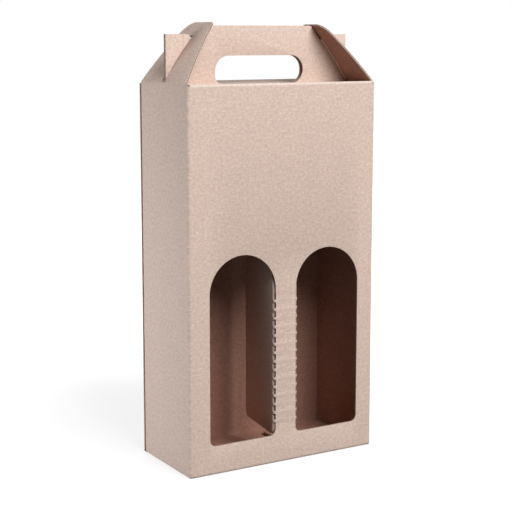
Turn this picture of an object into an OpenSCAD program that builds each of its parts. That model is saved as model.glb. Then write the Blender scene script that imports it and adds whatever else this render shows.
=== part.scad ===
// Two-bottle carton folded from one die-cut sheet of fine-flute board. The origin is the centre of the
// base, the windows face -Y and +Z is up.

/* [Body] */
// Outside width, left to right
body_w = 176; // [170:1:190]
// Outside depth, front to back
body_d = 83; // [80:1:90]
// Height from the base to the top folds
body_h = 313; // [300:1:330]
// Thickness of the board
board_t = 1.5; // [1.2:0.1:1.8]
// Outside radius of the vertical folds
fold_r = 1.2; // [0.8:0.1:2]
// Clear distance kept between a moving flap and the board next to it
clearance = 0.4; // [0.3:0.05:0.5]

/* [Top closure] */
// Depth by which the two top shelves sink from the top folds to the middle
shelf_dip = 4; // [3:0.5:6]
// Air gap between the two upright handle panels
panel_gap = 2.4; // [1.6:0.2:3.2]
// Height of the handle ridge above the top folds
ridge_rise = 45.2; // [44:0.2:48]
// Radius of the ridge ends
ridge_r = 4; // [2:0.5:6]
// Height of the ears above the top folds
ear_rise = 38.3; // [36:0.1:38.4]
// Distance from the side of the carton to the inner edge of an ear
ear_reach = 24.2; // [22:0.1:24.2]
// Radius of the upper inner corner of an ear
ear_r = 3.9; // [3.7:0.1:6]

/* [Hand hole] */
// Length of the hand hole
hole_l = 83.8; // [76:0.2:90]
// Height of the hand hole, and the diameter of its round right end
hole_h = 23.4; // [21:0.2:25]
// Radius of the upper left corner of the hand hole
hole_top_r = 12.5; // [11:0.5:13]
// Radius of the lower left corner of the hand hole
hole_low_r = 7.5; // [5:0.5:8]
// Height of the lowest point of the hand hole above the crease of its panel
hole_rise = 1.4; // [1:0.2:3]

/* [Lock flaps] */
// Slope of the closed left lock flap above the horizontal, in degrees
left_angle = 54; // [53:0.5:56]
// Slope of the closed right lock flap above the horizontal, in degrees
right_angle = 52; // [52:0.5:56]
// Length from the fold to the tip
lock_l = 59; // [56:0.5:62]
// Height by which the middle of a lock flap bows outwards
lock_bow = 1.4; // [0.6:0.1:1.6]
// Distance from each corner of the carton to the flap, at the fold
lock_inset = 2.5; // [2:0.5:8]
// Distance from the middle of a flap to each of its blunt tip corners, as if they weren't round
lock_blunt_y = 18; // [16:0.5:25]
// Radius of the blunt tip corners
lock_blunt_r = 15; // [8:0.5:16]
// Distance from the middle of the left flap to its sharp tip corner at the front
lock_sharp_y = 20; // [16:0.5:25]
// Radius of that corner
lock_sharp_r = 4; // [2:0.5:8]
// Distance from the fold to the board of the flap, over the width of the crease
lock_root = 1.5; // [1.4:0.1:2]
// Distance from the fold to the far end of the slot
slot_reach = 44.4; // [44.4:0.1:46]
// Radius of the corners at the far end of the slot
slot_r = 1; // [0.5:0.1:1.2]

/* [Windows] */
// Width of each window
window_w = 61.3; // [56:0.1:64]
// Height of the window sills above the base
window_sill = 23.7; // [18:0.1:30]
// Height of the window crowns above the base
window_crown = 177.2; // [160:0.2:200]
// Radius of the lower window corners
window_r = 5; // [3:0.5:8]
// Width of the post between the windows
post_w = 19.5; // [16:0.5:22]
// Distance by which the pair of windows sits to the right of the middle
window_shift = 1.6; // [0:0.2:2.4]
// Spacing of the perforations along the crease of a window flap
perf_pitch = 7.2; // [6:0.1:9]
// Length of each perforation
perf_l = 3.8; // [2.5:0.1:4.5]
// Width of each perforation
perf_w = 0.8; // [0.5:0.1:1.2]

/* [Bottom flaps] */
// Length of the two side flaps that lie on the floor
minor_l = 68; // [60:1:72]
// Distance by which one edge of each side flap stops short of the wall
minor_setback = 15; // [10:1:20]
// Lift of the right side flap off the floor, in degrees
minor_lift = 1.5; // [0:0.5:3]
// Offset of the seam between the two main flaps from the middle
seam_offset = 14; // [8:1:20]
// Half the length of the slanted middle part of that seam
seam_run = 10; // [6:1:16]
// Width of that seam
seam_w = 0.8; // [0.5:0.1:1.5]

/* [Glue flap] */
// Width of the glue flap on the inside of the back wall
glue_w = 22; // [16:1:30]
// Distance of the glue flap from the base and from the top folds
glue_inset = 8; // [5:1:15]
// Slope length of the glue flap ends
glue_taper = 12; // [6:1:20]

/* [Hidden] */
$fn = 64;
half_w = body_w / 2;
half_d = body_d / 2;
inner_w = body_w - 2 * board_t;
inner_d = body_d - 2 * board_t;
board_color = "#d2b79f";
inside_color = "#c4a68c";

// Amount by which a tip circle keeps inside the two lines that it rounds off
hair = 0.01;

// Handle panels: Y of the inner and outer faces, and X of the outer edges from the side of the carton
panel_in = panel_gap / 2;
panel_out = panel_in + board_t;
panel_edge = board_t + clearance;
crease_z = body_h - shelf_dip;

// Edge of a handle panel under a lock flap, cut for the flap that lies lower, with the centre of its ridge end
under_angle = min(left_angle, right_angle);
under_flap = board_t + clearance;
notch_rise = (ear_reach * sin(under_angle) - under_flap) / cos(under_angle);
ridge_cz = ridge_rise - ridge_r;
ridge_cx = (under_flap + ridge_r + ridge_cz * cos(under_angle)) / sin(under_angle);

// Lock flap: half width at the fold, width of the slot and radius of the bow
root_half = half_d - lock_inset;
slot_w = 2 * (panel_out + clearance);
lock_arc_r = lock_l * lock_l / (8 * lock_bow) + lock_bow / 2;

// Windows: height, X of the crease beside the post, and the swing that brings both flap tips together
window_h = window_crown - window_sill;
crease_x = post_w / 2;
flap_l = window_w - clearance;
divider_angle = 90 + asin((crease_x - clearance / 2) / flap_l);
perf_start = window_sill + window_r;
perf_count = floor((window_h - window_r - window_w / 2) / perf_pitch);

// Rectangle with round corners, centred on the origin.
module round_rect(w, h, r) {
    square([w - 2 * r, h], center = true);
    square([w, h - 2 * r], center = true);
    for (x = [-1, 1], y = [-1, 1])
        translate([x * (w / 2 - r), y * (h / 2 - r)]) circle(r);
}

// Hand hole with a fully round right end and two round corners on the left, centred on the origin.
module hand_hole() {
    x0 = -hole_l / 2;
    z0 = -hole_h / 2;
    translate([x0 + hole_top_r, z0]) square([hole_l - hole_h / 2 - hole_top_r, hole_h]);
    translate([x0 + hole_low_r, z0]) square([hole_top_r - hole_low_r, hole_h - hole_top_r]);
    translate([x0, z0 + hole_low_r]) square([hole_top_r, hole_h - hole_low_r - hole_top_r]);
    translate([x0 + hole_top_r, -z0 - hole_top_r]) circle(hole_top_r);
    translate([x0 + hole_low_r, z0 + hole_low_r]) circle(hole_low_r);
    translate([hole_l / 2 + z0, 0]) circle(-z0);
}

// Arched window outline standing on the X axis, with its left edge on the Y axis.
module arch(w, h, r) {
    translate([0, r]) square([w, h - w / 2 - r]);
    translate([r, 0]) square([w - 2 * r, r]);
    for (x = [r, w - r])
        translate([x, r]) circle(r);
    translate([w / 2, h - w / 2]) circle(w / 2);
}

// Draws its children twice, the second time mirrored left to right.
module both_sides() {
    children();
    mirror([1, 0, 0]) children();
}

// Stands a drawing made in X and Z upright, with its thickness t running from y towards +Y.
module upright(y, t) {
    translate([0, y + t, 0]) rotate([90, 0, 0]) linear_extrude(t) children();
}

// Two window openings with the row of perforations in the post beside each of them.
module window_cuts() {
    translate([window_shift, 0]) both_sides() {
        translate([crease_x, window_sill]) arch(window_w, window_h, window_r);
        for (i = [0 : perf_count - 1])
            translate([crease_x - perf_w, perf_start + (i + 0.5) * perf_pitch - perf_l / 2])
                square([2 * perf_w, perf_l]);
    }
}

// Four walls, folded round and pierced by the windows.
module walls() {
    difference() {
        linear_extrude(body_h) difference() {
            round_rect(body_w, body_d, fold_r);
            square([inner_w, inner_d], center = true);
        }
        upright(-half_d - board_t, 3 * board_t) window_cuts();
    }
}

// Glue flap that turns in from the left wall and lies on the inside of the back wall.
module glue_flap() {
    x0 = -half_w + board_t / 2;
    x1 = -half_w + board_t + glue_w;
    upright(half_d - 2 * board_t, board_t) polygon([
        [x0, glue_inset], [x1, glue_inset + glue_taper],
        [x1, body_h - glue_inset - glue_taper], [x0, body_h - glue_inset]
    ]);
}

// Main bottom flap of the front wall, which meets its twin along a stepped seam.
module main_bottom_flap() {
    x = inner_w / 2 - clearance;
    y = seam_offset - seam_w / 2;
    linear_extrude(board_t) polygon([
        [-x, -half_d + board_t / 2], [x, -half_d + board_t / 2],
        [x, -seam_offset - seam_w / 2], [seam_run, -seam_offset - seam_w / 2],
        [-seam_run, y], [-x, y]
    ]);
}

// Bottom flap of the right wall, which lies on the main flaps and stops short of the back wall.
module side_bottom_flap(lift) {
    translate([half_w - board_t / 2, 0, board_t]) rotate([0, lift, 0])
        translate([board_t / 2 - minor_l, clearance - inner_d / 2, 0])
            cube([minor_l - board_t / 2, inner_d - minor_setback - clearance, board_t]);
}

// Outline of one end of a handle panel, measured in from the side of the carton and up from the top fold.
module panel_end() {
    ear_w = ear_reach - panel_edge;
    translate([panel_edge, -shelf_dip]) {
        square([ear_w, ear_rise + shelf_dip - ear_r]);
        square([ear_w - ear_r, ear_rise + shelf_dip]);
    }
    translate([ear_reach - ear_r, ear_rise - ear_r]) circle(ear_r);
    translate([ridge_cx, ridge_cz]) circle(ridge_r);
    polygon([
        [ear_reach - board_t, -shelf_dip], [ear_reach - board_t, notch_rise - board_t], [ear_reach, notch_rise],
        [ridge_cx - ridge_r * sin(under_angle), ridge_cz + ridge_r * cos(under_angle)],
        [ridge_cx, ridge_rise], [half_w, ridge_rise], [half_w, -shelf_dip]
    ]);
}

// Front half of the top closure: a nearly level shelf and the upright handle panel at its end.
module closure_half() {
    rotate([90, 0, 90]) linear_extrude(body_w - 2 * panel_edge, center = true) polygon([
        [-half_d + fold_r / 2, body_h], [-panel_out, crease_z], [-panel_in, crease_z],
        [-panel_in, crease_z - board_t], [-half_d + fold_r / 2, body_h - board_t]
    ]);
    upright(-panel_out, board_t) difference() {
        both_sides() translate([-half_w, body_h]) panel_end();
        translate([0, crease_z + hole_rise + hole_h / 2]) hand_hole();
    }
}

// The whole sheet apart from the flaps that swing on their own.
module carton() {
    color(board_color) {
        walls();
        glue_flap();
        closure_half();
        mirror([0, 1, 0]) closure_half();
    }
    color(inside_color) {
        main_bottom_flap();
        rotate([0, 0, 180]) main_bottom_flap();
        side_bottom_flap(minor_lift);
        rotate([0, 0, 180]) side_bottom_flap(0);
    }
}

// Taper of a side of a lock flap, centre of its round tip corner and the point where they meet.
function taper(tip_y) = atan((root_half - tip_y) / lock_l);
function corner_y(tip_y, r) = root_half - (lock_l - r) * tan(taper(tip_y)) - r / cos(taper(tip_y));
function corner_start(tip_y, r) =
    [lock_l - r + r * sin(taper(tip_y)), corner_y(tip_y, r) + r * cos(taper(tip_y))];

// One side of a lock flap, from the middle of the slot outwards, with X running from the fold to the tip.
module lock_side(tip_y, r) {
    y = corner_y(tip_y, r);
    polygon([
        [lock_root, -slot_w / 4], [lock_l, -slot_w / 4], [lock_l, y], corner_start(tip_y, r),
        [lock_root, root_half - lock_root * tan(taper(tip_y))]
    ]);
    translate([lock_l - r, y]) circle(r - hair);
}

// Outline of a lock flap, blunt at the back and with the given tip corner at the front.
module lock_outline(front_y, front_r) {
    difference() {
        union() {
            lock_side(lock_blunt_y, lock_blunt_r);
            mirror([0, 1]) lock_side(front_y, front_r);
        }
        translate([slot_reach / 2, 0]) round_rect(slot_reach, slot_w, slot_r);
        square([slot_reach, slot_w], center = true);
    }
}

// Lock flap on the left, bowed a little and closed over the ears at the given slope.
module lock_flap(angle, front_y, front_r) {
    color(board_color) translate([-half_w, 0, body_h]) rotate([0, -angle, 0]) intersection() {
        translate([0, 0, -2 * board_t]) linear_extrude(2 * (board_t + lock_bow)) lock_outline(front_y, front_r);
        translate([lock_l / 2, half_d, lock_bow - lock_arc_r]) rotate([90, 0, 0])
            linear_extrude(body_d) difference() {
                circle(lock_arc_r, $fn = 720);
                circle(lock_arc_r - board_t, $fn = 720);
            }
    }
}

// Left lock flap, with the sharp tip corner.
module left_lock_flap() {
    lock_flap(left_angle, lock_sharp_y, lock_sharp_r);
}

// Right lock flap, with two blunt tip corners.
module right_lock_flap() {
    mirror([1, 0, 0]) lock_flap(right_angle, lock_blunt_y, lock_blunt_r);
}

// Flap cut from the right window and folded in past square, as one half of the bottle divider.
module right_window_flap() {
    color(inside_color) translate([window_shift + crease_x, board_t - half_d, 0]) rotate([0, 0, divider_angle])
        upright(-board_t, board_t) difference() {
            translate([clearance, window_sill + clearance])
                arch(window_w - 2 * clearance, window_h - 2 * clearance, window_r);
            translate([-board_t, 0]) square([board_t + perf_w, window_crown]);
        }
}

// Flap cut from the left window, the mirror image of the right one about the middle of the windows.
module left_window_flap() {
    translate([2 * window_shift, 0, 0]) mirror([1, 0, 0]) right_window_flap();
}

carton();
left_lock_flap();
right_lock_flap();
left_window_flap();
right_window_flap();
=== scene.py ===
"""Looks of a two-bottle carton folded from one sheet of fluted kraft board.

Each piece of board is modelled flat, as it is die-cut, and is then folded up on its creases. A flat
sheet lies in X and Y with its outer face at Z = 0 and its inner face one thickness below. Sizes are in
metres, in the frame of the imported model: the origin is the centre of the base, the windows face -Y and
+Z is up.
"""

import logging
import math
from dataclasses import dataclass
from enum import Enum
from typing import Callable, Sequence, Union

import bpy
from mathutils import Matrix, Vector


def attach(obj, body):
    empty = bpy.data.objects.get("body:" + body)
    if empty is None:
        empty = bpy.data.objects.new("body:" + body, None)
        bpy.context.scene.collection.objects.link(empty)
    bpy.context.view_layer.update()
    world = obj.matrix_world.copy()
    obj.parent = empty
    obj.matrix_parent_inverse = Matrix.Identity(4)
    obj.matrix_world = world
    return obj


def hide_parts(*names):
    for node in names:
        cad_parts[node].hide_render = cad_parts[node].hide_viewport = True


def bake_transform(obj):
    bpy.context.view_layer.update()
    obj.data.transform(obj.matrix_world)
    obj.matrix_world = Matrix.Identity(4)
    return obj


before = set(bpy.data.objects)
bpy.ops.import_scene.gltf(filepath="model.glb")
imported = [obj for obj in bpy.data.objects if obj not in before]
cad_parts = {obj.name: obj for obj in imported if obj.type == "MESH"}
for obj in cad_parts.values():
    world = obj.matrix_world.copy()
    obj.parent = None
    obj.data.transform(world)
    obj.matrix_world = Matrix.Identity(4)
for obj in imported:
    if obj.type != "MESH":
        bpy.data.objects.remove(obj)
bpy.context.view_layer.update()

LOG = logging.getLogger("wine_carton")
MM = 0.001
TINY = 1e-6
WHITE = (1.0, 1.0, 1.0, 1.0)
Point = tuple[float, float]


class Face(Enum):
    """Faces of the board, numbered as its material slots are."""

    OUTER = 0
    INNER = 1
    CUT = 2


class Line(Enum):
    """Direction of a crease or a score line on the flat sheet."""

    UPRIGHT = "Y"
    LEVEL = "X"


@dataclass(frozen=True)
class Board:
    """The fluted board and the way it folds.

    Attributes:
        thickness: Thickness over both liners.
        fold_radius: Inside radius of a fold.
        flute_pitch: Distance from one flute to the next.
        edge_round: Rounding of a die-cut edge.
        tooth: Depth of the teeth where a cut crosses the flutes.
        pale_fade: Width of the strip beside a fold over which its pale paint, partly wear and partly painted
            highlight, fades out.
        fold_step: Largest turn in degrees between two edges of a round fold.
        smooth_angle: Angle in degrees up to which two faces are shaded as one surface.
    """

    thickness: float = 1.5 * MM
    fold_radius: float = 0.15 * MM
    flute_pitch: float = 2.4 * MM
    edge_round: float = 0.16 * MM
    tooth: float = 0.12 * MM
    pale_fade: float = 0.7 * MM
    fold_step: float = 22.0
    smooth_angle: float = 38.0

    @property
    def fold_reach(self) -> float:
        """Outside radius of a fold."""
        return self.thickness + self.fold_radius

    def band(self, angle: float) -> float:
        """Width of board that a fold takes up, for its angle in degrees."""
        return self.fold_radius * math.radians(abs(angle))


@dataclass(frozen=True)
class CartonSize:
    """Driving sizes of the carton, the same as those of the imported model."""

    width: float = 176 * MM
    depth: float = 83 * MM
    height: float = 313 * MM
    clearance: float = 0.4 * MM
    shelf_dip: float = 4 * MM
    panel_out: float = 2.7 * MM
    ridge_rise: float = 45.2 * MM
    ridge_round: float = 4 * MM
    ear_rise: float = 38.3 * MM
    ear_reach: float = 24.2 * MM
    ear_round: float = 3.9 * MM
    under_angle: float = 52.0
    hole_length: float = 83.8 * MM
    hole_height: float = 23.4 * MM
    hole_top_round: float = 12.5 * MM
    hole_low_round: float = 7.5 * MM
    window_width: float = 61.3 * MM
    window_sill: float = 23.7 * MM
    window_crown: float = 177.2 * MM
    window_round: float = 5 * MM
    window_shift: float = 1.6 * MM
    post_width: float = 19.5 * MM
    perforation_pitch: float = 7.2 * MM
    perforation: float = 5.0 * MM
    perforation_width: float = 0.25 * MM

    @property
    def window_height(self) -> float:
        """Height of a window from its sill to its crown."""
        return self.window_crown - self.window_sill

    @property
    def perforation_count(self) -> int:
        """Number of perforations along the straight part of a window crease."""
        straight = self.window_height - self.window_round - self.window_width / 2
        return int(straight / self.perforation_pitch)


SIZE = CartonSize()
BOARD = Board()


def arc(x: float, y: float, radius: float, start: float, end: float, steps: int = 8) -> list[Point]:
    """Returns points on an arc, both ends included.

    Args:
        x: Centre across.
        y: Centre up.
        radius: Radius of the arc.
        start: First angle in degrees, from +X towards +Y.
        end: Last angle in degrees.
        steps: Number of straight pieces that stand for the arc.

    Returns:
        The points in order.
    """
    turns = [math.radians(start + (end - start) * i / steps) for i in range(steps + 1)]
    return [(x + radius * math.cos(a), y + radius * math.sin(a)) for a in turns]


def mirrored(points: Sequence[Point]) -> list[Point]:
    """Returns the points mirrored left to right, in reverse order, so that an outline can go on with them."""
    return [(-x, y) for x, y in reversed(points)]


def moved(points: Sequence[Point], x: float, y: float) -> list[Point]:
    """Returns the points moved by x and y."""
    return [(px + x, py + y) for px, py in points]


def smooth(share: float) -> float:
    """Returns a smooth rise from 0 at share 0 to 1 at share 1."""
    share = min(max(share, 0.0), 1.0)
    return share * share * (3 - 2 * share)


def arch_outline(inset: float = 0.0) -> list[Point]:
    """Returns the window arch with its crease on the Y axis and its sill at the window's height.

    Args:
        inset: Distance by which the outline keeps inside the cut.

    Returns:
        The outline, counterclockwise from its lower crease corner.
    """
    radius = SIZE.window_width / 2 - inset
    low, corner = SIZE.window_sill + inset, SIZE.window_round
    left, right = inset, SIZE.window_width - inset
    spring = SIZE.window_crown - SIZE.window_width / 2
    return [
        *arc(left + corner, low + corner, corner, 180, 270, 6),
        *arc(right - corner, low + corner, corner, 270, 360, 6),
        *arc(SIZE.window_width / 2, spring, radius, 0, 180, 40),
    ]


def slot_outline(low: float, high: float, half: float, corner: float) -> list[Point]:
    """Returns an upright slot with round corners, centred across, counterclockwise."""
    right = [
        *arc(half - corner, low + corner, corner, 270, 360, 4),
        *arc(half - corner, high - corner, corner, 0, 90, 4),
    ]
    return right + mirrored(right)


def hand_hole_outline(y: float) -> list[Point]:
    """Returns the hand hole, centred across at height y, counterclockwise: its right end is fully round."""
    left, low, high = -SIZE.hole_length / 2, y - SIZE.hole_height / 2, y + SIZE.hole_height / 2
    top_r, low_r = SIZE.hole_top_round, SIZE.hole_low_round
    return [
        *arc(left + low_r, low + low_r, low_r, 180, 270, 8),
        *arc(-left - SIZE.hole_height / 2, y, SIZE.hole_height / 2, -90, 90, 24),
        *arc(left + top_r, high - top_r, top_r, 90, 180, 12),
    ]


def ripple(first: Point, last: Point) -> list[Point]:
    """Returns points on a line that crosses the flutes, each of which makes a small tooth in the cut edge.

    Args:
        first: Start of the line, which isn't repeated in the result.
        last: End of the line, which isn't repeated either.

    Returns:
        The points in order, alternately on the line and a tooth's depth inside it.
    """
    start, end = Vector(first), Vector(last)
    along = end - start
    count = int(along.length / (BOARD.flute_pitch / 2))
    inward = Vector((-along.y, along.x)).normalized() * BOARD.tooth
    points = [start + along * i / count + inward * (i % 2) for i in range(1, count)]
    return [(point.x, point.y) for point in points]


def only(obj: bpy.types.Object) -> None:
    """Leaves obj as the only selected and active object."""
    bpy.ops.object.select_all(action="DESELECT")
    obj.select_set(True)
    bpy.context.view_layer.objects.active = obj


def prism(name: str, outline: Sequence[Point], low: float, high: float) -> bpy.types.Object:
    """Makes an upright prism from a flat outline.

    Args:
        name: Name of the object.
        outline: Corners in order, without a repeated end.
        low: Height of the lower face.
        high: Height of the upper face.

    Returns:
        The closed prism, with its faces pointing outwards.
    """
    bpy.ops.object.select_all(action="DESELECT")
    bpy.ops.mesh.primitive_circle_add(vertices=len(outline), radius=1.0, fill_type="NGON")
    obj = bpy.context.object
    obj.name = obj.data.name = name
    for vertex, (x, y) in zip(obj.data.vertices, outline):
        vertex.co = (x, y, low)
    bpy.ops.object.mode_set(mode="EDIT")
    bpy.ops.mesh.select_all(action="SELECT")
    bpy.ops.mesh.extrude_region_move(TRANSFORM_OT_translate={"value": (0.0, 0.0, high - low)})
    bpy.ops.mesh.select_all(action="SELECT")
    bpy.ops.mesh.normals_make_consistent(inside=False)
    bpy.ops.object.mode_set(mode="OBJECT")
    return obj


@dataclass(frozen=True)
class Crease:
    """A fold of the flat sheet.

    Attributes:
        line: Direction of the crease.
        at: Place of the near edge of the crease, across the line.
        angle: Turn in degrees, positive away from the outer face.
        side: 1 if the board beyond the crease lies at higher values, else -1.
        within: Range along the line that the folded board lies in.
        radius: Inside radius of the fold.
        wear_and_highlight: Share of the paper painted pale on the fold, partly as real wear of the fibres and
            partly as a painted highlight.
    """

    line: Line
    at: float
    angle: float
    side: int
    within: Point = (-1.0, 1.0)
    radius: float = BOARD.fold_radius
    wear_and_highlight: float = 0.25

    @property
    def joints(self) -> list[float]:
        """Places of the small turns that make up the round fold."""
        count = max(2, math.ceil(abs(self.angle) / BOARD.fold_step))
        band = self.radius * math.radians(abs(self.angle))
        return [self.at + self.side * band * i / count for i in range(count + 1)]

    @property
    def scores(self) -> list[float]:
        """Places that need an edge across the sheet: the small turns and the ends of the strip over which the
        fold's pale paint fades out.
        """
        joints = self.joints
        return [self.at - self.side * BOARD.pale_fade, *joints, joints[-1] + self.side * BOARD.pale_fade]


class Sheet:
    """One piece of board, modelled flat and then folded."""

    def __init__(self, name: str, outline: Sequence[Point]) -> None:
        """Cuts the sheet.

        Args:
            name: Name of the piece.
            outline: Corners of the flat sheet in order.
        """
        self.obj = prism(name, outline, -BOARD.thickness, 0.0)
        self.flat: list[Vector] = []

    def cut(self, outline: Sequence[Point]) -> None:
        """Cuts a hole of the given outline through the flat sheet."""
        cutter = prism("cutter", outline, -2 * BOARD.thickness, BOARD.thickness)
        only(self.obj)
        boolean = self.obj.modifiers.new("cut", "BOOLEAN")
        boolean.operation, boolean.solver, boolean.object = "DIFFERENCE", "EXACT", cutter
        bpy.ops.object.modifier_apply(modifier=boolean.name)
        bpy.data.objects.remove(cutter)

    def round_edges(self) -> None:
        """Rounds the two edges of every cut face a little."""
        only(self.obj)
        self._select_faces(lambda normal: abs(normal.z) < 0.5)
        bpy.ops.object.mode_set(mode="EDIT")
        bpy.ops.mesh.region_to_loop()
        bpy.ops.mesh.bevel(offset=BOARD.edge_round, segments=2, affect="EDGES", clamp_overlap=True)
        bpy.ops.object.mode_set(mode="OBJECT")

    def _select_faces(self, wanted: Callable[[Vector], bool]) -> None:
        """Selects the faces whose normal passes the test, and nothing else."""
        mesh = self.obj.data
        for vertex in mesh.vertices:
            vertex.select = False
        for edge in mesh.edges:
            edge.select = False
        for polygon in mesh.polygons:
            polygon.select = wanted(polygon.normal)
        bpy.context.tool_settings.mesh_select_mode = (False, False, True)

    def score(self, line: Line, places: Sequence[float]) -> None:
        """Adds an edge right across the sheet at each place."""
        only(self.obj)
        bpy.ops.object.mode_set(mode="EDIT")
        for place in sorted(set(places)):
            bpy.ops.mesh.select_all(action="SELECT")
            across = line is Line.UPRIGHT
            bpy.ops.mesh.bisect(
                plane_co=(place, 0.0, 0.0) if across else (0.0, place, 0.0),
                plane_no=(1.0, 0.0, 0.0) if across else (0.0, 1.0, 0.0),
            )
        bpy.ops.object.mode_set(mode="OBJECT")

    def mark(self, shift: Point = (0.0, 0.0)) -> None:
        """Stores the flat place of every point and sorts the faces into outer, inner and cut ones.

        Args:
            shift: Offset of the paper's pattern, so that two pieces don't look the same.
        """
        self._face_outwards()
        mesh = self.obj.data
        self.flat = [vertex.co.copy() for vertex in mesh.vertices]
        place = mesh.attributes.new("flat", "FLOAT_VECTOR", "POINT")
        offset = Vector((*shift, 0.0))
        for item, co in zip(place.data, self.flat):
            item.vector = co + offset
        # Share of pale paint at each point of a fold, partly wear and partly painted highlight.
        mesh.attributes.new("wear_and_highlight", "FLOAT", "POINT")
        for polygon in mesh.polygons:
            z = polygon.normal.z
            polygon.material_index = (Face.OUTER if z > 0.3 else Face.INNER if z < -0.3 else Face.CUT).value

    def _face_outwards(self) -> None:
        """Turns the normals round if the upper face of the flat sheet points down."""
        top = max(self.obj.data.polygons, key=lambda polygon: (round(polygon.center.z, 6), polygon.area))
        if top.normal.z > 0:
            return
        only(self.obj)
        bpy.ops.object.mode_set(mode="EDIT")
        bpy.ops.mesh.select_all(action="SELECT")
        bpy.ops.mesh.flip_normals()
        bpy.ops.object.mode_set(mode="OBJECT")
        LOG.info("%s: normals turned outwards", self.obj.name)

    def lift(self, height: Callable[[float, float], float]) -> None:
        """Moves each point of the flat sheet out by a height that a function of its flat place gives."""
        for vertex, co in zip(self.obj.data.vertices, self.flat):
            vertex.co.z += height(co.x, co.y)

    def fold(self, crease: Crease) -> None:
        """Folds all board beyond a crease. What lies furthest out is folded first."""
        only(self.obj)
        mesh = self.obj.data
        upright = crease.line is Line.UPRIGHT
        joints = crease.joints
        turn = math.radians(crease.angle) / len(joints) * crease.side * (1 if upright else -1)
        pivot_z = -BOARD.thickness if crease.angle > 0 else 0.0
        reach = [((co.x if upright else co.y) * crease.side, co.y if upright else co.x) for co in self.flat]
        for joint in reversed(joints):
            limit = joint * crease.side + TINY
            inside = [r > limit and crease.within[0] <= along <= crease.within[1] for r, along in reach]
            pivot = (joint, 0.0, pivot_z) if upright else (0.0, joint, pivot_z)
            self._turn(inside, turn, crease.line.value, pivot)
        # Marks the turned band for pale paint, partly wear and partly painted highlight.
        near, far = sorted((joints[0] * crease.side, joints[-1] * crease.side))
        for item, (r, along) in zip(mesh.attributes["wear_and_highlight"].data, reach):
            if near - TINY <= r <= far + TINY and crease.within[0] <= along <= crease.within[1]:
                item.value = max(item.value, crease.wear_and_highlight)

    def _turn(self, inside: Sequence[bool], angle: float, axis: str, pivot: Sequence[float]) -> None:
        """Turns the points marked inside about an axis through pivot, by the right-hand rule."""
        mesh = self.obj.data
        for polygon in mesh.polygons:
            polygon.select = False
        for edge in mesh.edges:
            edge.select = False
        for vertex, chosen in zip(mesh.vertices, inside):
            vertex.select = chosen
        bpy.context.tool_settings.mesh_select_mode = (True, False, False)
        bpy.ops.object.mode_set(mode="EDIT")
        bpy.ops.transform.rotate(
            value=-angle, orient_axis=axis, orient_type="GLOBAL", center_override=tuple(pivot)
        )
        bpy.ops.object.mode_set(mode="OBJECT")

    def bend(self, shift: Callable[[Vector], Vector]) -> None:
        """Moves each point of the folded sheet by the vector that a function of its place gives."""
        for vertex in self.obj.data.vertices:
            vertex.co += shift(vertex.co)

    def place(self, matrix: Matrix) -> bpy.types.Object:
        """Moves the folded sheet to its place in the frame and smooths its round folds.

        Args:
            matrix: Turn and place of the flat sheet's frame.

        Returns:
            The finished object, at the origin.
        """
        only(self.obj)
        self.obj.data.transform(matrix)
        bpy.ops.object.shade_smooth_by_angle(angle=math.radians(BOARD.smooth_angle))
        return self.obj


class Wire:
    """A shader socket or a number that takes part in Python arithmetic."""

    def __init__(self, shader: "Shader", value: Union[float, bpy.types.NodeSocket]) -> None:
        """Wraps a value of the given shader."""
        self.shader = shader
        self.value = value

    def _math(self, operation: str, *others: Union["Wire", float]) -> "Wire":
        """Adds a Math node on this value and the others."""
        values = [o.value if isinstance(o, Wire) else o for o in (self, *others)]
        return self.shader.node("ShaderNodeMath", {"operation": operation}, dict(enumerate(values)))

    def __add__(self, other: Union["Wire", float]) -> "Wire":
        """Returns the sum."""
        return self._math("ADD", other)

    def __sub__(self, other: Union["Wire", float]) -> "Wire":
        """Returns the difference."""
        return self._math("SUBTRACT", other)

    def __rsub__(self, other: float) -> "Wire":
        """Returns the difference of a number and this."""
        return Wire(self.shader, other)._math("SUBTRACT", self)

    def __mul__(self, other: Union["Wire", float]) -> "Wire":
        """Returns the product."""
        return self._math("MULTIPLY", other)

    __radd__ = __add__
    __rmul__ = __mul__

    def sine(self) -> "Wire":
        """Returns the sine."""
        return self._math("SINE")

    def size(self) -> "Wire":
        """Returns the absolute value."""
        return self._math("ABSOLUTE")

    def ramp(self, low: float, high: float) -> "Wire":
        """Returns a smooth rise from 0 at low to 1 at high, or the reverse if high is less than low."""
        first, last = (0.0, 1.0) if low < high else (1.0, 0.0)
        inputs = {"Value": self.value, "From Min": min(low, high), "From Max": max(low, high),
                  "To Min": first, "To Max": last}
        return self.shader.node("ShaderNodeMapRange", {"interpolation_type": "SMOOTHSTEP"}, inputs, "Result")


Colour = Union[Wire, Sequence[float]]


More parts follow.
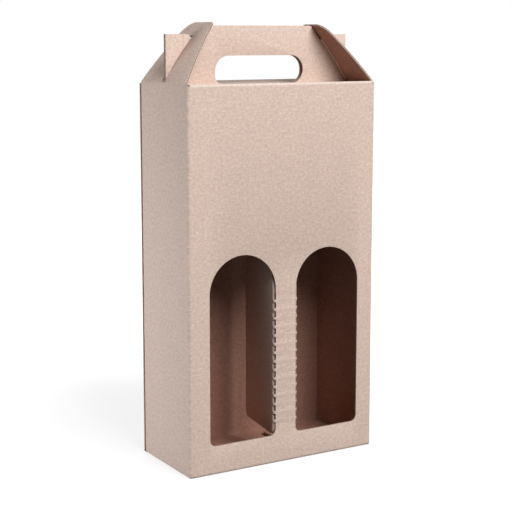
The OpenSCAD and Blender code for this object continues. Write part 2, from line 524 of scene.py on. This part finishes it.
class Shader:
    """The node tree of a material or of the world, under construction."""

    def __init__(self, owner: Union[bpy.types.Material, bpy.types.World]) -> None:
        """Empties the node tree of its owner."""
        self.owner = owner
        self.owner.use_nodes = True
        self.tree = self.owner.node_tree
        self.tree.nodes.clear()

    def node(self, kind: str, settings: dict, inputs: dict, output: Union[int, str] = 0) -> Wire:
        """Adds one node.

        Args:
            kind: Type of the node.
            settings: Attributes of the node, set before its sockets.
            inputs: Value or link of each input socket, by its name or number.
            output: Socket to return.

        Returns:
            The output socket, or an empty wire for a node that has none.
        """
        made = self.tree.nodes.new(kind)
        for name, value in settings.items():
            setattr(made, name, value)
        for key, value in inputs.items():
            value = value.value if isinstance(value, Wire) else value
            if isinstance(value, bpy.types.NodeSocket):
                self.tree.links.new(value, made.inputs[key])
            else:
                made.inputs[key].default_value = value
        return Wire(self, made.outputs[output] if made.outputs else None)

    def attribute(self, name: str, output: str) -> Wire:
        """Reads an attribute of the mesh."""
        return self.node("ShaderNodeAttribute", {"attribute_name": name}, {}, output)

    def noise(self, place: Wire, scale: float, detail: float = 2.0, roughness: float = 0.5) -> Wire:
        """Returns noise between 0 and 1 with the given number of lumps to the metre."""
        inputs = {"Vector": place, "Scale": scale, "Detail": detail, "Roughness": roughness}
        return self.node("ShaderNodeTexNoise", {}, inputs, "Fac")

    def stretch(self, place: Wire, scale: Sequence[float]) -> Wire:
        """Scales a place along its three axes."""
        return self.node("ShaderNodeVectorMath", {"operation": "MULTIPLY"}, {0: place, 1: tuple(scale)})

    def blend(self, factor: Wire, first: Colour, second: Colour) -> Wire:
        """Mixes two colours."""
        colours = [c if isinstance(c, Wire) else (*c, 1.0) for c in (first, second)]
        settings = {"data_type": "RGBA", "clamp_factor": True}
        return self.node("ShaderNodeMix", settings, {0: factor, 6: colours[0], 7: colours[1]}, 2)

    def tint(self, colour: Wire, strength: Wire) -> Wire:
        """Multiplies a colour by a number."""
        return self.node("ShaderNodeVectorMath", {"operation": "SCALE"}, {0: colour, "Scale": strength})

    def finish(
        self, colour: Wire, roughness: Wire, height: Wire, depth: float, specular: float
    ) -> bpy.types.Material:
        """Ends the material with a rough opaque surface.

        Args:
            colour: Colour over the surface.
            roughness: Roughness over the surface.
            height: Relief between 0 and 1.
            depth: Depth of that relief in metres.
            specular: Strength of the surface gloss.

        Returns:
            The finished material.
        """
        bump = self.node("ShaderNodeBump", {}, {"Strength": 1.0, "Distance": depth, "Height": height})
        surface = self.node(
            "ShaderNodeBsdfPrincipled", {},
            {"Base Color": colour, "Roughness": roughness, "Normal": bump, "Specular IOR Level": specular},
        )
        self.node("ShaderNodeOutputMaterial", {}, {"Surface": surface})
        return self.owner


@dataclass(frozen=True)
class Kraft:
    """Brown kraft liner, or the cut edge of the board that shows its flutes.

    Attributes:
        name: Name of the material.
        face: The face of the board that it covers.
        colour: Main colour of the paper.
        dark: Colour of its darker fibres.
        pale: Colour of torn fibres and of the folds, where it stands partly for wear and partly for a painted
            highlight.
        hollow_shade: Painted shade for the hollows between the flutes.
        clouds: Large faint patches to the metre.
        mottle: Small patches to the metre.
        grain: Grains to the metre.
        fibres: Dark fibres to the metre, which run across.
        crossing: Pale fibres to the metre, which run up.
        depth: Depth of the relief of the paper.
        gloss: Strength of the surface gloss.
    """

    name: str
    face: Face
    colour: tuple[float, float, float] = (0.690, 0.535, 0.455)
    dark: tuple[float, float, float] = (0.560, 0.405, 0.325)
    pale: tuple[float, float, float] = (0.860, 0.760, 0.680)
    hollow_shade: tuple[float, float, float] = (0.200, 0.120, 0.085)
    clouds: float = 60.0
    mottle: float = 420.0
    grain: float = 1300.0
    fibres: float = 1700.0
    crossing: float = 1100.0
    depth: float = 0.05 * MM
    gloss: float = 0.25

    def build(self) -> bpy.types.Material:
        """Makes the material."""
        shader = Shader(bpy.data.materials.new(self.name))
        place = shader.attribute("flat", "Vector")
        wear_and_highlight = shader.attribute("wear_and_highlight", "Fac")
        clouds = shader.noise(place, self.clouds, 4.0, 0.6)
        mottle = shader.noise(place, self.mottle, 3.0, 0.7)
        grain = shader.noise(place, self.grain, 3.0, 0.65)
        fibres = shader.noise(shader.stretch(place, (0.18, 1.0, 1.0)), self.fibres, 2.0, 0.6)
        crossing = shader.noise(shader.stretch(place, (1.0, 0.25, 1.0)), self.crossing, 2.0, 0.6)
        paper = shader.blend(fibres.ramp(0.62, 0.30) * 0.50, self.colour, self.dark)
        paper = shader.blend(crossing.ramp(0.56, 0.80) * 0.45, paper, self.pale)
        # The noises are 0.5 on average, so that the paper keeps its colour and only varies round it.
        paper = shader.tint(paper, 0.40 + clouds * 0.10 + mottle * 0.70 + grain * 0.40)
        height = grain * 0.5 + fibres * 0.5
        if self.face is Face.CUT:
            paper, height = self._flutes(shader, place, paper, height)
        else:
            # Folds are painted pale: partly worn fibres, partly a painted highlight where the round fold
            # catches the light.
            fray_and_highlight = wear_and_highlight * (grain * 0.8 + 0.35)
            paper = shader.blend(fray_and_highlight.ramp(0.15, 0.95) * 0.80, paper, self.pale)
            height = height + self._flute_wave(shader, place) * 0.25
        return shader.finish(paper, 0.78 + grain * 0.16, height, self.depth, self.gloss)

    def _flute_wave(self, shader: Shader, place: Wire) -> Wire:
        """Returns a wave between -1 and 1 that rises once for each flute."""
        across = shader.node("ShaderNodeSeparateXYZ", {}, {0: place}, "Y")
        return (across * (2 * math.pi / BOARD.flute_pitch)).sine()

    def _flutes(self, shader: Shader, place: Wire, paper: Wire, height: Wire) -> tuple[Wire, Wire]:
        """Draws the fluted middle of the board between its two liners, with painted shade in the hollows
        between the flutes.

        Args:
            shader: The material under construction.
            place: Flat place on the sheet.
            paper: Colour of plain paper.
            height: Relief of plain paper.

        Returns:
            The new colour and relief.
        """
        through = shader.node("ShaderNodeSeparateXYZ", {}, {0: place}, "Z")
        level = through * (1 / BOARD.thickness) + 0.5
        wave = self._flute_wave(shader, place) * 0.30
        medium = (level - wave).size().ramp(0.17, 0.09)
        liner = level.size().ramp(0.30, 0.38)
        solid = (medium + liner).ramp(0.0, 1.0)
        pale = shader.blend(Wire(shader, 0.55), paper, self.pale)
        # The hollows between the flutes get painted shade, a dark colour that stands for the shadow inside
        # them.
        return shader.blend(solid, self.hollow_shade, pale), height * 0.3 + solid * 3.0


class Finishes:
    """The three finishes of the board, in the order of its material slots."""

    def __init__(self) -> None:
        """Builds the materials."""
        recipes = (
            Kraft("kraft_outer", Face.OUTER),
            Kraft(
                "kraft_inner", Face.INNER,
                colour=(0.380, 0.200, 0.145), dark=(0.280, 0.135, 0.095), pale=(0.480, 0.290, 0.220),
            ),
            Kraft(
                "board_cut_edge", Face.CUT,
                colour=(0.600, 0.450, 0.370), dark=(0.480, 0.340, 0.270), pale=(0.760, 0.640, 0.560),
            ),
        )
        self.materials = [recipe.build() for recipe in recipes]

    def dress(self, obj: bpy.types.Object) -> None:
        """Gives the piece its material slots."""
        for material in self.materials:
            obj.data.materials.append(material)


@dataclass
class Blank:
    """The one-piece sheet of the carton, without the four flaps that swing on their own.

    Attributes:
        glue_width: Width of the glue flap.
        glue_inset: Distance of the glue flap from the base and from the top.
        glue_taper: Slope length of the ends of the glue flap.
        glue_gap: Gap between the glue flap and the back wall.
        relief: Gap beside a flap, so that it folds freely.
        side_top: Distance of the side walls from the top folds.
        corner_rise: Gap under and over the round corners of the walls.
        hole_rise: Height of the hand hole above the crease of its panel.
        main_flap_inset: Distance of a main bottom flap from the side of the carton.
        seam_offset: Offset of the bottom seam from the middle.
        seam_run: Half the length of its slanted part.
        seam_half: Half its width.
        side_flap_length: Length of a side bottom flap.
        side_flap_setback: Distance by which it stops short of one wall.
        side_flap_lift: Lift of the right one off the floor, in degrees.
        side_flap_round: Radius of its corners.
        squeeze: Distance by which each handle panel is pressed inwards at its ends.
        squeeze_start: Distance from the middle at which that begins.
        squeeze_end: Distance from the side of the carton at which it is full.
        squeeze_run: Distance from the middle over which the shelf gives way to it.
        bend_step: Distance between the edges that let the panels bend.
        bend_count: Number of those edges on each side of the middle.
        shelf_step: Distance between the edges that let a shelf bend.
        shelf_count: Number of those edges.
        jog_angle: Slope of the short part by which a side flap climbs onto the main flaps, in degrees.
        jog: Length of that part.
        body: Body that the sheet moves with.
    """

    glue_width: float = 22 * MM
    glue_inset: float = 8 * MM
    glue_taper: float = 12 * MM
    glue_gap: float = 0.1 * MM
    relief: float = 0.6 * MM
    side_top: float = 1.0 * MM
    corner_rise: float = 0.5 * MM
    hole_rise: float = 1.4 * MM
    main_flap_inset: float = 3.7 * MM
    seam_offset: float = 14 * MM
    seam_run: float = 10 * MM
    seam_half: float = 0.4 * MM
    side_flap_length: float = 68 * MM
    side_flap_setback: float = 15 * MM
    side_flap_lift: float = 1.5
    side_flap_round: float = 4 * MM
    squeeze: float = 1.05 * MM
    squeeze_start: float = 46 * MM
    squeeze_end: float = 8 * MM
    squeeze_run: float = 24 * MM
    bend_step: float = 4 * MM
    bend_count: int = 10
    shelf_step: float = 5 * MM
    shelf_count: int = 4
    jog_angle: float = 35.0
    jog: float = 2.2 * MM
    body: str = "carton"

    @property
    def front_half(self) -> float:
        """Half the straight width of the front wall."""
        return SIZE.width / 2 - BOARD.fold_reach

    @property
    def fold(self) -> float:
        """Width that a square fold takes up."""
        return BOARD.band(90)

    @property
    def right_wall(self) -> Point:
        """Flat range of the straight part of the right wall."""
        start = self.front_half + self.fold
        return start, start + SIZE.depth - 2 * BOARD.fold_reach

    @property
    def back_wall(self) -> Point:
        """Flat range of the back wall, up to its raw edge."""
        start = self.right_wall[1] + self.fold
        return start, start + SIZE.width - BOARD.fold_reach

    @property
    def left_wall(self) -> Point:
        """Flat range of the straight part of the left wall, which ends inside the back wall."""
        start = -self.front_half - self.fold
        return start - (SIZE.depth - BOARD.thickness - self.glue_gap - 2 * BOARD.fold_reach), start

    @property
    def back_centre(self) -> float:
        """Flat place of the middle of the back wall."""
        return self.back_wall[0] + self.front_half

    @property
    def low(self) -> float:
        """Height of the bottom creases."""
        return BOARD.fold_reach

    @property
    def high(self) -> float:
        """Height of the top creases."""
        return SIZE.height - BOARD.fold_reach

    @property
    def dip(self) -> float:
        """Slope of the top shelves below the horizontal, in degrees."""
        return math.degrees(math.atan2(SIZE.shelf_dip, SIZE.depth / 2 - SIZE.panel_out))

    @property
    def shelf(self) -> Point:
        """Flat range of the straight part of a top shelf."""
        slope = math.radians(self.dip)
        start = self.high + BOARD.band(90 + self.dip)
        run = SIZE.depth / 2 - SIZE.panel_out - BOARD.fold_reach * (1 + math.sin(slope))
        return start, start + (run - BOARD.fold_radius * (1 + math.sin(slope))) / math.cos(slope)

    @property
    def panel_rise(self) -> float:
        """Difference between the flat height and the folded height of a handle panel."""
        slope = math.radians(self.dip)
        foot = SIZE.height - BOARD.fold_reach * (1 - math.cos(slope))
        foot += BOARD.fold_radius * math.cos(slope) - (self.shelf[1] - self.shelf[0]) * math.sin(slope)
        return self.shelf[1] + BOARD.band(90 + self.dip) - foot

    def closure(self) -> list[Point]:
        """Returns the outline of a shelf and its handle panel, from lower right to lower left."""
        up = self.panel_rise + SIZE.height
        side = SIZE.width / 2
        slope = math.radians(SIZE.under_angle)
        under = BOARD.thickness + SIZE.clearance
        notch = (SIZE.ear_reach * math.sin(slope) - under) / math.cos(slope)
        centre_y = SIZE.ridge_rise - SIZE.ridge_round
        centre_x = (under + SIZE.ridge_round + centre_y * math.cos(slope)) / math.sin(slope)
        ear = SIZE.ear_round
        right = [
            (self.front_half - self.relief, self.high),
            (self.front_half - self.relief, up + SIZE.ear_rise),
            *arc(side - SIZE.ear_reach + ear, up + SIZE.ear_rise - ear, ear, 90, 180, 6),
            (side - SIZE.ear_reach, up + notch),
            *arc(side - centre_x, up + centre_y, SIZE.ridge_round, 90 - SIZE.under_angle, 90, 6),
        ]
        return right + mirrored(right)

    def main_flap(self) -> list[Point]:
        """Returns the outline of a main bottom flap, from upper left to upper right."""
        half = SIZE.width / 2 - self.main_flap_inset
        start = self.low - self.fold
        reach = SIZE.depth / 2 - BOARD.fold_reach
        long, short = (start - reach - s * self.seam_offset + self.seam_half for s in (1, -1))
        return [(-half, self.low), (-half, long), (-self.seam_run, long),
                (self.seam_run, short), (half, short), (half, self.low)]

    def side_flap(self, wall: Point, near: float, far: float) -> list[Point]:
        """Returns the outline of a side bottom flap.

        Args:
            wall: Flat range of its wall.
            near: Distance of its left edge from the start of that range.
            far: Distance of its right edge from the end of that range.

        Returns:
            The outline from upper left to upper right.
        """
        left, right = wall[0] + near, wall[1] - far
        bottom, corner = self.side_flap_end, self.side_flap_round
        return [
            (left, self.low), *arc(left + corner, bottom + corner, corner, 180, 270, 5),
            *arc(right - corner, bottom + corner, corner, 270, 360, 5), (right, self.low),
        ]

    @property
    def side_flap_end(self) -> float:
        """Flat height of the free edge of a side bottom flap."""
        slope = math.radians(self.jog_angle)
        used = BOARD.fold_reach * (1 + math.sin(slope)) + self.jog * math.cos(slope)
        used += BOARD.fold_radius * math.sin(slope)
        return self.side_flap_jog[1] - BOARD.band(self.jog_angle) - (self.side_flap_length - used)

    @property
    def side_flap_jog(self) -> Point:
        """Flat heights of the ends of the short steep part of a side bottom flap, upper one first."""
        start = self.low - BOARD.band(90 + self.jog_angle)
        return start, start - self.jog

    def outline(self) -> list[Point]:
        """Returns the outline of the whole flat sheet, counterclockwise."""
        corner_low, gap = self.corner_rise, self.relief
        top = SIZE.height - self.side_top
        left, right, back = self.left_wall, self.right_wall, self.back_wall
        glue = left[0] - self.fold
        main = self.main_flap()
        setback = self.side_flap_setback - BOARD.fold_reach
        left_flap = self.side_flap(left, gap, setback)
        right_flap = self.side_flap(right, gap, setback)
        back_flap = moved(main, self.back_centre, 0)
        return [
            (glue - self.glue_width, self.glue_inset + self.glue_taper), (glue, self.glue_inset),
            (glue, corner_low), (left[0], corner_low), (left[0], self.low), *left_flap,
            (left_flap[-1][0] + gap, self.low), (left_flap[-1][0] + gap, corner_low),
            (main[0][0] - gap, corner_low), (main[0][0] - gap, self.low), *main,
            (main[-1][0] + gap, self.low), (main[-1][0] + gap, corner_low),
            (right[0], corner_low), (right[0], self.low), *right_flap,
            (right_flap[-1][0] + gap, self.low), (right_flap[-1][0] + gap, corner_low),
            (back_flap[0][0] - gap, corner_low), (back_flap[0][0] - gap, self.low), *back_flap,
            (back_flap[-1][0] + gap, self.low), (back_flap[-1][0] + gap, corner_low),
            (back[1], corner_low), (back[1], self.high + self.corner_rise),
            (self.back_centre + self.front_half, self.high + self.corner_rise),
            (self.back_centre + self.front_half, self.high),
            *moved(self.closure(), self.back_centre, 0),
            (self.back_centre - self.front_half, self.high), (self.back_centre - self.front_half, top),
            (self.front_half, top), (self.front_half, self.high), *self.closure(),
            (-self.front_half, self.high), (-self.front_half, top),
            (glue, top), (glue, SIZE.height - self.glue_inset),
            (glue - self.glue_width, SIZE.height - self.glue_inset - self.glue_taper),
        ]

    def creases(self) -> list[Crease]:
        """Returns the creases, those furthest out first."""
        turn = 90 + self.dip
        found = []
        for centre in (0.0, self.back_centre):
            within = (centre - self.front_half + TINY, centre + self.front_half - TINY)
            found += [
                Crease(Line.LEVEL, self.shelf[1], -turn, 1, within),
                # The top fold is painted paler than the others, partly as wear and partly as a painted
                # highlight along the top edge.
                Crease(Line.LEVEL, self.high, turn, 1, within, wear_and_highlight=0.7),
                Crease(Line.LEVEL, self.low, 90, -1, within),
            ]
        for wall, lift in ((self.left_wall, 0.0), (self.right_wall, self.side_flap_lift)):
            within = (wall[0] + TINY, wall[1] - TINY)
            found += [
                Crease(Line.LEVEL, self.side_flap_jog[1], lift - self.jog_angle, -1, within),
                Crease(Line.LEVEL, self.low, 90 + self.jog_angle, -1, within),
            ]
        return found + [
            Crease(Line.UPRIGHT, self.left_wall[0], 90, -1),
            Crease(Line.UPRIGHT, -self.front_half, 90, -1),
            Crease(Line.UPRIGHT, self.right_wall[1], 90, 1),
            Crease(Line.UPRIGHT, self.front_half, 90, 1),
        ]

    def windows(self) -> list[list[Point]]:
        """Returns the outlines of everything that is cut out of the front wall."""
        cuts = []
        arch = moved(arch_outline(), SIZE.post_width / 2, 0)
        first = SIZE.window_sill + SIZE.window_round
        half, wide = SIZE.perforation / 2, SIZE.perforation_width
        notch = [(-wide, -half), (wide, -half), (wide, half), (-wide, half)]
        notches = [
            moved(notch, SIZE.post_width / 2, first + (i + 0.5) * SIZE.perforation_pitch)
            for i in range(SIZE.perforation_count)
        ]
        for outline in (arch, *notches):
            cuts += [moved(outline, SIZE.window_shift, 0), moved(mirrored(outline), SIZE.window_shift, 0)]
        return cuts

    def build(self) -> bpy.types.Object:
        """Cuts and folds the sheet, and returns it in place."""
        sheet = Sheet("carton_board", self.outline())
        for outline in self.windows():
            sheet.cut(outline)
        hole_y = self.shelf[1] + BOARD.band(90 + self.dip) + self.hole_rise + SIZE.hole_height / 2
        hole = hand_hole_outline(hole_y)
        sheet.cut(hole)
        sheet.cut(moved(mirrored(hole), self.back_centre, 0))
        sheet.round_edges()
        creases = self.creases()
        for line in Line:
            places = [place for crease in creases if crease.line is line for place in crease.scores]
            sheet.score(line, places)
        bends = [self.squeeze_start + i * self.bend_step for i in range(self.bend_count)]
        middles = (0.0, self.back_centre)
        places = [middle + sign * x for middle in middles for sign in (-1, 1) for x in bends]
        sheet.score(Line.UPRIGHT, places)
        sheet.score(Line.LEVEL, [self.shelf[1] - (i + 1) * self.shelf_step for i in range(self.shelf_count)])
        sheet.mark()
        for crease in creases:
            sheet.fold(crease)
        sheet.bend(self._squeeze)
        return sheet.place(Matrix.Translation((0, -SIZE.depth / 2, 0)) @ Matrix.Rotation(math.pi / 2, 4, "X"))

    def _squeeze(self, co: Vector) -> Vector:
        """Returns the shift that brings the two handle panels together, as the slots of the lock flaps do."""
        depth = -SIZE.depth / 2 - co.z
        if co.y < self.high - SIZE.shelf_dip or abs(depth) > self.squeeze_run:
            return Vector()
        full = SIZE.width / 2 - self.squeeze_end
        across = smooth((abs(co.x) - self.squeeze_start) / (full - self.squeeze_start))
        near = 1 - smooth((abs(depth) - SIZE.panel_out) / (self.squeeze_run - SIZE.panel_out))
        return Vector((0, 0, math.copysign(self.squeeze * across * near, depth)))


@dataclass
class LockFlap:
    """A top flap of a side wall, slotted to drop over the ears of the handle panels.

    Attributes:
        name: Name of the piece, which is also the node that it replaces.
        body: Body that it would move with; not used.
        side: -1 on the left and 1 on the right.
        angle: Slope of the closed flap above the horizontal, in degrees.
        shift: Offset of the paper's pattern.
        front_tip: Distance from the middle to the front tip corner, as if it weren't round.
        front_round: Radius of that corner.
        back_tip: Distance from the middle to the back tip corner, as if it weren't round.
        back_round: Radius of that corner.
        length: Length from the fold to the tip.
        bow: Height by which the middle bows outwards.
        inset: Distance from the corners of the carton at the fold.
        start: Distance below the top of the wall at which the piece begins.
        slot_start: Distance from the fold to the near end of the slot.
        slot_reach: Distance from the fold to its far end.
        slot_round: Radius of its corners.
        bow_steps: Number of straight parts that stand for the bow.
    """

    name: str
    body: str
    side: int
    angle: float
    shift: Point
    front_tip: float = 18 * MM
    front_round: float = 15 * MM
    back_tip: float = 18 * MM
    back_round: float = 15 * MM
    length: float = 59 * MM
    bow: float = 1.4 * MM
    inset: float = 2.5 * MM
    start: float = 1.0 * MM
    slot_start: float = 1.0 * MM
    slot_reach: float = 44.4 * MM
    slot_round: float = 1.0 * MM
    bow_steps: int = 14

    @property
    def fold_at(self) -> float:
        """Flat height at which the fold begins."""
        return SIZE.height - BOARD.fold_reach * math.tan(math.radians(90 - self.angle) / 2)

    @property
    def zero(self) -> float:
        """Flat height of the corner line that the flap's length is measured from."""
        return self.fold_at + BOARD.band(90 - self.angle) - (SIZE.height - self.fold_at)

    def outline(self) -> list[Point]:
        """Returns the outline of the flat flap, counterclockwise."""
        front = self._edge(self.front_tip, self.front_round)
        back = self._edge(self.back_tip, self.back_round)
        return back + mirrored(front) if self.side > 0 else front + mirrored(back)

    def _edge(self, reach: float, corner: float) -> list[Point]:
        """Returns one side of the flap, from the fold to the tip.

        Args:
            reach: Distance from the middle to the tip corner, as if it weren't round.
            corner: Radius of that corner.

        Returns:
            The points in order.
        """
        root = SIZE.depth / 2 - self.inset
        taper = math.atan((root - reach) / self.length)
        up = self.length - corner
        across = root - up * math.tan(taper) - corner / math.cos(taper)
        tip = arc(across, self.zero + up, corner, math.degrees(taper), 90, 10)
        teeth = ripple((root, self.zero), tip[0])
        return [(root, SIZE.height - self.start), (root, self.zero), *teeth, *tip]

    def build(self) -> bpy.types.Object:
        """Cuts, bows and folds the flap, and returns it in place."""
        sheet = Sheet(self.name + "_board", self.outline())
        half = SIZE.panel_out + SIZE.clearance
        low, high = self.zero + self.slot_start, self.zero + self.slot_reach
        sheet.cut(slot_outline(low, high, half, self.slot_round))
        sheet.round_edges()
        crease = Crease(Line.LEVEL, self.fold_at, 90 - self.angle, 1)
        bows = [self.zero + self.length * i / self.bow_steps for i in range(1, self.bow_steps)]
        sheet.score(Line.LEVEL, [*crease.scores, *bows])
        sheet.mark(self.shift)
        sheet.lift(lambda x, y: self._bow(y))
        sheet.fold(crease)
        frame_axes = Matrix(((0, 0, self.side, 0), (self.side, 0, 0, 0), (0, 1, 0, 0), (0, 0, 0, 1)))
        return sheet.place(Matrix.Translation((self.side * SIZE.width / 2, 0, 0)) @ frame_axes)

    def _bow(self, y: float) -> float:
        """Returns the outward bow at a flat height."""
        share = min(max((y - self.zero) / self.length, 0.0), 1.0)
        return 4 * self.bow * share * (1 - share)

    def attach(self, obj: bpy.types.Object) -> None:
        """Bakes the flap's place into its mesh and hides the part of the imported model that it replaces."""
        x, z = self.side * SIZE.width / 2, SIZE.height
        z - self.start
        z + self.start
        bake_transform(obj)
        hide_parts(self.name)


@dataclass
class WindowFlap:
    """The board cut from a window, folded in on its perforated crease as half of the bottle divider.

    Attributes:
        name: Name of the piece, which is also the node that it replaces.
        body: Body that it would move with; not used.
        side: -1 on the left and 1 on the right.
        shift: Offset of the paper's pattern.
        root: Distance from the crease to the flap beside a cut.
        radius: Inside radius of the crease.
        hinge_height: Height at which the crease would be measured; not used.
        crease_share: Share of the board's thickness that would bend at the crease when the piece swings;
            attach works out a reach from it but doesn't use it.
    """

    name: str
    body: str
    side: int
    shift: Point
    root: float = 0.3 * MM
    radius: float = 0.15 * MM
    hinge_height: float = 85 * MM
    crease_share: float = 0.7

    @property
    def crease_x(self) -> float:
        """Distance of the crease from the middle of the post."""
        return SIZE.post_width / 2

    @property
    def angle(self) -> float:
        """Turn of the flap in degrees, at which the two flaps almost meet."""
        reach = SIZE.window_width - SIZE.clearance
        return 90 + math.degrees(math.asin((self.crease_x - SIZE.clearance / 2) / reach))

    def outline(self) -> list[Point]:
        """Returns the outline of the right flap, counterclockwise, with a bridge beside each perforation."""
        arch = arch_outline(SIZE.clearance)
        outer = [(x, y) for x, y in arch if x > self.root]
        first = SIZE.window_sill + SIZE.window_round
        bridges: list[Point] = []
        half = (SIZE.perforation_pitch - SIZE.perforation) / 2
        for i in reversed(range(1, SIZE.perforation_count)):
            y = first + i * SIZE.perforation_pitch
            bridges += [(self.root, y + half), (0.0, y + half), (0.0, y - half), (self.root, y - half)]
        spring = SIZE.window_crown - SIZE.window_width / 2
        return [*outer, (self.root, spring), *bridges, (self.root, first)]

    def build(self) -> bpy.types.Object:
        """Cuts and folds the flap, and returns it in place."""
        outline = moved(self.outline(), self.crease_x, 0)
        if self.side < 0:
            outline = mirrored(outline)
        sheet = Sheet(self.name + "_board", outline)
        sheet.round_edges()
        crease = Crease(
            Line.UPRIGHT, self.side * self.crease_x, self.angle, self.side,
            within=(0, 1), radius=self.radius, wear_and_highlight=0.0,
        )
        sheet.score(crease.line, crease.scores)
        sheet.mark(self.shift)
        sheet.fold(crease)
        place = Matrix.Translation((SIZE.window_shift, -SIZE.depth / 2, 0))
        return sheet.place(place @ Matrix.Rotation(math.pi / 2, 4, "X"))

    def attach(self, obj: bpy.types.Object) -> None:
        """Bakes the flap's place into its mesh and hides the part of the imported model that it replaces."""
        x = SIZE.window_shift + self.side * self.crease_x
        reach = self.crease_share * BOARD.thickness / math.sqrt(2)
        x - self.side * reach
        x + self.side * reach
        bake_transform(obj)
        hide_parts(self.name)


@dataclass(frozen=True)
class Lamp:
    """A round soft lamp.

    Attributes:
        name: Name of the lamp.
        place: Place of its middle.
        aim: Point that it faces.
        size: Diameter.
        power: Power in watts.
        colour: Colour of its light.
    """

    name: str
    place: tuple[float, float, float]
    aim: tuple[float, float, float]
    size: float
    power: float
    colour: tuple[float, float, float]

    def hang(self) -> None:
        """Adds the lamp to the scene."""
        data = bpy.data.lights.new(self.name, "AREA")
        data.shape, data.size, data.energy, data.color = "DISK", self.size, self.power, self.colour
        obj = bpy.data.objects.new(self.name, data)
        obj.location = self.place
        obj.rotation_euler = (Vector(self.aim) - Vector(self.place)).to_track_quat("-Z", "Y").to_euler()
        bpy.context.scene.collection.objects.link(obj)


@dataclass
class Studio:
    """Camera, lights, background and floor.

    Attributes:
        image_size: Width of the photograph in pixels.
        focal_pixels: Focal length in pixels of the photograph.
        sensor: Width of the sensor in millimetres.
        eye: Place of the camera.
        yaw: Turn of the camera to the right of +Y, in degrees.
        pitch: Turn of the camera below the horizontal, in degrees.
        shift: Upward shift of the lens as a share of the picture.
        world_strength: Light from all round.
        floor_size: Side of the floor.
        floor_grey: Share of the light that the floor gives back.
        glow_near: Brightness added to the floor that the camera sees, beside the carton.
        glow_far: The same, further away.
        glow_range: Distances from the origin between which it changes.
        lamps: The lamps.
    """

    image_size: int = 512
    focal_pixels: float = 1290.0
    sensor: float = 36.0
    eye: tuple[float, float, float] = (-0.550, -0.9155, 0.350)
    yaw: float = 30.90
    pitch: float = 8.56
    shift: float = -0.051
    world_strength: float = 0.05
    floor_size: float = 6.0
    floor_grey: float = 0.30
    glow_near: float = 0.75
    glow_far: float = 1.10
    glow_range: Point = (0.15, 0.60)
    lamps: tuple[Lamp, ...] = (
        Lamp("key", (0.20, -1.45, 1.45), (0.0, 0.0, 0.20), 1.4, 45.0, (0.99, 0.995, 1.0)),
        Lamp("side", (-0.60, 0.28, 0.06), (-0.08, 0.0, 0.06), 0.45, 4.3, (0.93, 0.96, 1.0)),
        Lamp("back", (0.60, 1.50, 0.90), (0.0, 0.0, 0.20), 1.0, 14.0, (1.0, 1.0, 1.0)),
    )

    def camera(self) -> None:
        """Stands the camera where the photograph was taken from."""
        data = bpy.data.cameras.new("camera")
        data.sensor_width = self.sensor
        data.lens = self.focal_pixels * self.sensor / self.image_size
        data.shift_y = self.shift
        obj = bpy.data.objects.new("camera", data)
        obj.location = self.eye
        obj.rotation_euler = (math.radians(90 - self.pitch), 0.0, -math.radians(self.yaw))
        bpy.context.scene.collection.objects.link(obj)
        bpy.context.scene.camera = obj

    def background(self) -> None:
        """Lights the scene from all round and shows plain white behind it."""
        bpy.context.scene.world = bpy.data.worlds.new("studio")
        shader = Shader(bpy.context.scene.world)
        seen = shader.node("ShaderNodeLightPath", {}, {}, "Is Camera Ray")
        ambient = shader.node("ShaderNodeBackground", {}, {"Color": WHITE, "Strength": self.world_strength})
        plain = shader.node("ShaderNodeBackground", {}, {"Color": WHITE, "Strength": 1.0})
        both = shader.node("ShaderNodeMixShader", {}, {0: seen, 1: ambient, 2: plain})
        shader.node("ShaderNodeOutputWorld", {}, {"Surface": both})

    def floor(self) -> None:
        """Lays a white floor that keeps the carton's shadow."""
        bpy.ops.object.select_all(action="DESELECT")
        bpy.ops.mesh.primitive_plane_add(size=self.floor_size)
        obj = bpy.context.object
        obj.name = "floor"
        shader = Shader(bpy.data.materials.new("floor_white"))
        path = shader.node("ShaderNodeLightPath", {}, {}, "Is Camera Ray")
        place = shader.node("ShaderNodeTexCoord", {}, {}, "Object")
        away = shader.node("ShaderNodeVectorMath", {"operation": "LENGTH"}, {0: place}, "Value")
        level = away.ramp(*self.glow_range) * (self.glow_far - self.glow_near) + self.glow_near
        matt = shader.node("ShaderNodeBsdfDiffuse", {}, {"Color": (*[self.floor_grey] * 3, 1.0)})
        glow = shader.node("ShaderNodeEmission", {}, {"Color": WHITE, "Strength": path * level})
        both = shader.node("ShaderNodeAddShader", {}, {0: matt, 1: glow})
        shader.node("ShaderNodeOutputMaterial", {}, {"Surface": both})
        obj.data.materials.append(shader.owner)

    def build(self) -> None:
        """Sets up everything round the carton."""
        bpy.context.scene.view_settings.view_transform = "Standard"
        self.camera()
        for lamp in self.lamps:
            lamp.hang()
        self.background()
        self.floor()


def main() -> None:
    """Builds the studio, the carton and its flaps in order."""
    logging.basicConfig(level=logging.INFO, format="%(message)s")
    Studio().build()
    finishes = Finishes()
    blank = Blank()
    board = blank.build()
    finishes.dress(board)
    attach(board, blank.body)
    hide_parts("carton")
    LOG.info("%s: %d faces", board.name, len(board.data.polygons))
    flaps = (
        LockFlap(
            "left_lock_flap", "left_lock", -1, 54.0, (0.7, 0.2), front_tip=20 * MM, front_round=4 * MM,
        ),
        LockFlap("right_lock_flap", "right_lock", 1, 52.0, (0.9, -0.3)),
        WindowFlap("left_window_flap", "left_divider", -1, (-0.5, 0.4)),
        WindowFlap("right_window_flap", "right_divider", 1, (0.4, -0.7)),
    )
    for flap in flaps:
        piece = flap.build()
        finishes.dress(piece)
        flap.attach(piece)
        LOG.info("%s: %d faces", piece.name, len(piece.data.polygons))
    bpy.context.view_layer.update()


if __name__ == "__main__":
    main()
